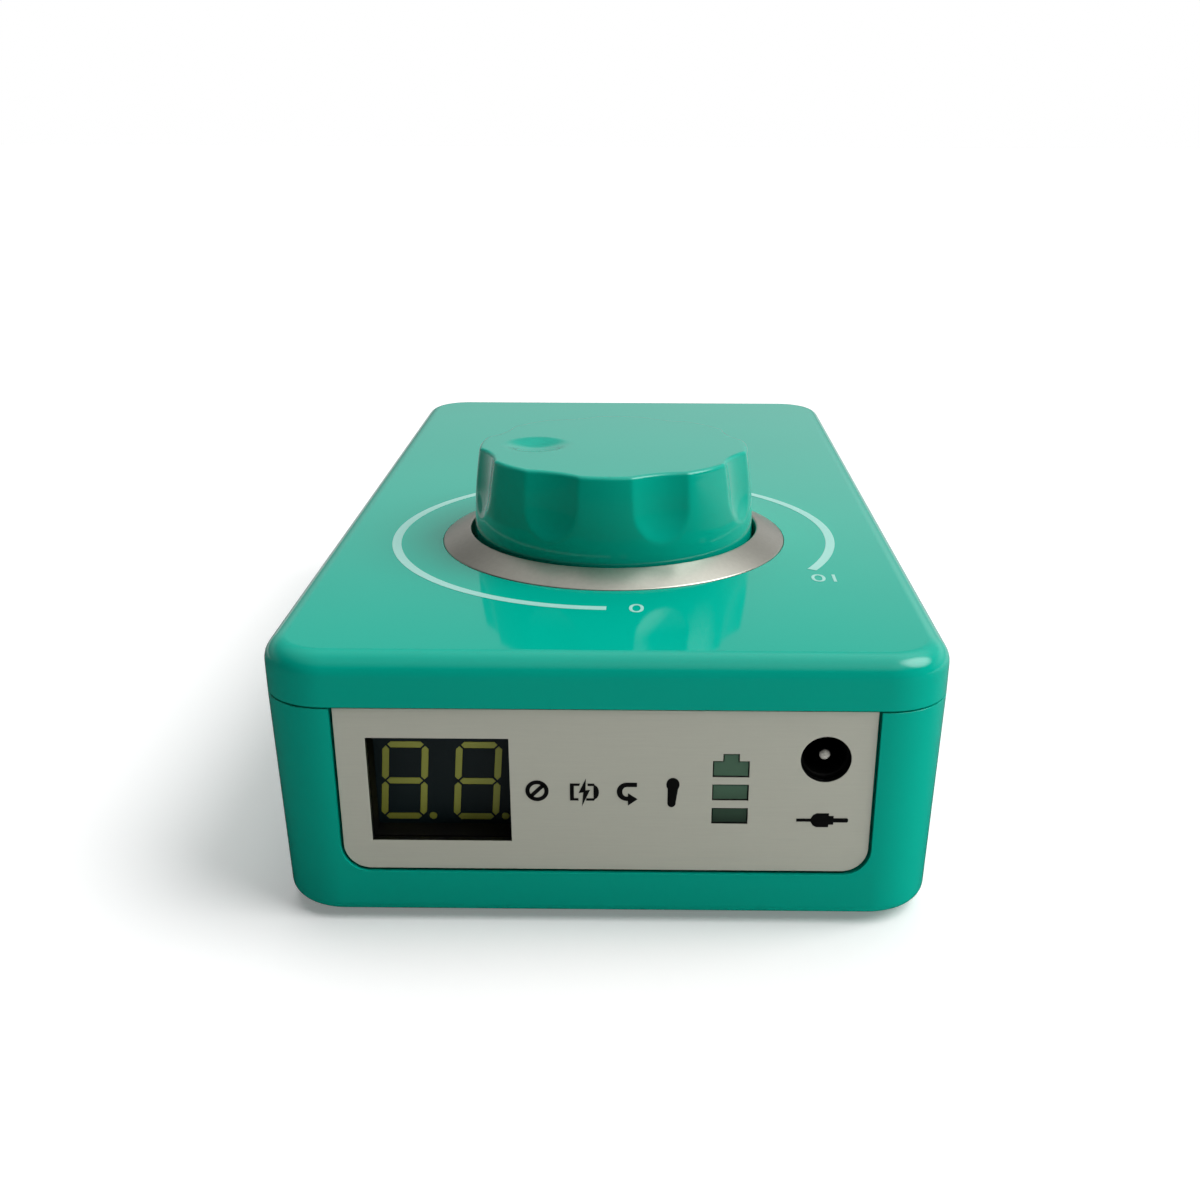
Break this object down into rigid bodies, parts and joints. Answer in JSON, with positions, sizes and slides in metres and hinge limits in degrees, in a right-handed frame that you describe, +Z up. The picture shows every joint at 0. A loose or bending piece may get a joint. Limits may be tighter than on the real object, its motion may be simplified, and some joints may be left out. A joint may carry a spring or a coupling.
{
  "type": "portable micromotor control box",
  "caption": "Flat two-shell control box on rubber feet with a fluted speed knob in a metal ring, a display panel with a motor socket in front, and rear sockets and switches.",
  "frame": {"origin": "on the table, under the middle of the box's outline", "axes": "+Z up, +Y from the front panel to the rear wall, +X to the right seen from the front"},
  "size_m": [0.07, 0.125, 0.0416],
  "materials": {
    "teal_housing": "gloss",
    "satin_panel": "satin",
    "satin_ring": "satin",
    "black_plastic": "satin",
    "display_slate": "satin",
    "gauge_green": "gloss",
    "foot_rubber": "matte",
    "steel_parts": "satin",
    "contact_nickel": "satin",
    "brass_nut": "satin",
    "circuit_board": "satin",
    "cell_can": "satin",
    "foam_pad": "matte",
    "lamp_white": "satin",
    "capacitor_can": "satin",
    "coil_core": "matte"
  },
  "bodies": {
    "case": {"bottom_case": "teal_housing", "top_cover": "teal_housing", "front_panel": "satin_panel", "display_module": "display_slate", "light_shroud": "black_plastic", "display_board": "circuit_board", "motor_jack": "black_plastic", "motor_jack_pin": "contact_nickel", "knob_ring": "satin_ring", "pot_body": "steel_parts", "pot_washer": "steel_parts", "pot_nut": "brass_nut", "battery_cell_1": "cell_can", "battery_cell_2": "cell_can", "link_strip": "contact_nickel", "lead_strip_1": "contact_nickel", "lead_strip_2": "contact_nickel", "cell_pad": "foam_pad", "main_board": "circuit_board", "main_board_screw_1": "steel_parts", "main_board_screw_2": "steel_parts", "driver_chip": "black_plastic", "processor_chip": "black_plastic", "capacitor": "capacitor_can", "board_plug": "lamp_white", "power_board": "circuit_board", "power_board_screw_1": "steel_parts", "power_board_screw_2": "steel_parts", "charger_chip": "black_plastic", "power_coil": "coil_core", "charge_jack": "black_plastic", "charge_jack_pin": "contact_nickel", "pedal_jack": "black_plastic", "direction_switch": "black_plastic", "pedal_mode_switch": "black_plastic", "power_switch": "black_plastic", "case_screw_1": "steel_parts", "case_screw_2": "steel_parts", "case_screw_3": "steel_parts", "case_screw_4": "steel_parts", "rubber_foot_1": "foot_rubber", "rubber_foot_2": "foot_rubber", "rubber_foot_3": "foot_rubber", "rubber_foot_4": "foot_rubber", "sign_lamp_1": "lamp_white", "sign_lamp_2": "lamp_white", "sign_lamp_3": "lamp_white", "sign_lamp_4": "lamp_white", "gauge_window_1": "gauge_green", "gauge_window_2": "gauge_green", "gauge_window_3": "gauge_green", "gauge_lamp_1": "lamp_white", "gauge_lamp_2": "lamp_white", "gauge_lamp_3": "lamp_white"},
    "knob": {"speed_knob": "teal_housing", "pot_shaft": "steel_parts"},
    "direction_button": {"direction_button": "black_plastic"},
    "pedal_mode_button": {"pedal_mode_button": "black_plastic"},
    "power_tab": {"power_tab": "black_plastic"}
  },
  "joints": [
    {"name": "knob_turn", "type": "hinge", "parent": "case", "child": "knob", "pos_m": [0, -0.0213, 0.035], "axis": [0, 0, 1], "range_deg": [-212, 87.5]},
    {"name": "direction_press", "type": "slide", "parent": "case", "child": "direction_button", "axis": [0, -1, 0], "range_m": [0, 0.0006], "stiffness_N_per_m": 2500, "springref_m": -0.0001},
    {"name": "pedal_mode_press", "type": "slide", "parent": "case", "child": "pedal_mode_button", "axis": [0, -1, 0], "range_m": [0, 0.0006], "stiffness_N_per_m": 2500, "springref_m": -0.0001},
    {"name": "power_slide", "type": "slide", "parent": "case", "child": "power_tab", "axis": [1, 0, 0], "range_m": [0, 0.004]}
  ]
}
